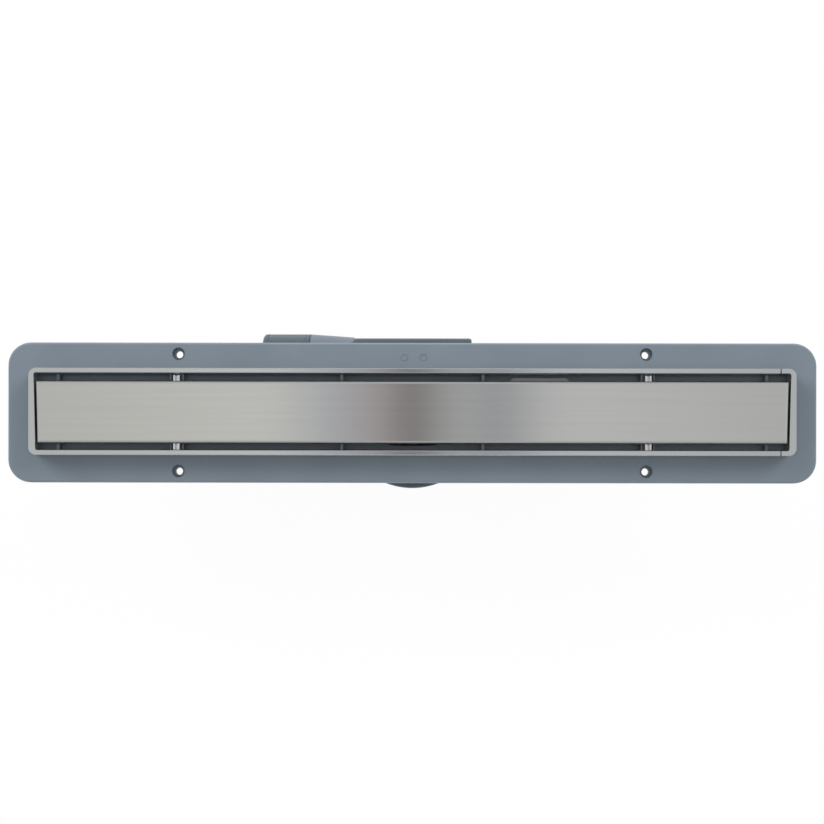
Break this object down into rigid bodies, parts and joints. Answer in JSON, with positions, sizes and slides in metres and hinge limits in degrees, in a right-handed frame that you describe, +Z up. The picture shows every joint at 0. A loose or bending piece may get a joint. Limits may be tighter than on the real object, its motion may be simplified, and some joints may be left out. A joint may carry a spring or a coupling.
{
  "type": "linear shower drain",
  "caption": "Long moulded channel drain with a screw flange, steel-edged mouth, plain steel cover between two side slots, and a water trap with a side pipe outlet.",
  "frame": {"origin": "middle of the four screw holes, on the plane that the flange's underside rests on", "axes": "+X along the drain (right in the picture), +Y to the outlet's side (top of the picture), +Z up"},
  "size_m": [0.652, 0.1324, 0.117],
  "materials": {
    "moulded_plastic": "blue-grey moulded plastic, satin",
    "brushed_stainless": "stainless steel, brushed along its length",
    "inner_plastic": "pale moulded plastic",
    "seal_rubber": "black rubber"
  },
  "bodies": {
    "root": {"channel_body": "moulded_plastic", "trap_collar": "moulded_plastic", "trap_body": "moulded_plastic", "trap_base": "moulded_plastic", "outlet_spout": "moulded_plastic", "outlet_nut": "moulded_plastic", "cover_plate": "brushed_stainless", "crossbar_left": "brushed_stainless", "crossbar_right": "brushed_stainless", "frame_rail_front": "brushed_stainless", "frame_rail_back": "brushed_stainless", "frame_end_left": "brushed_stainless", "frame_end_right": "brushed_stainless", "waste_flange": "inner_plastic", "dip_tube": "inner_plastic", "hair_strainer": "inner_plastic", "outlet_slip_ring": "inner_plastic", "waste_seal": "seal_rubber", "trap_gasket": "seal_rubber", "dip_tube_seal": "seal_rubber", "outlet_seal": "seal_rubber"}
  },
  "joints": []
}
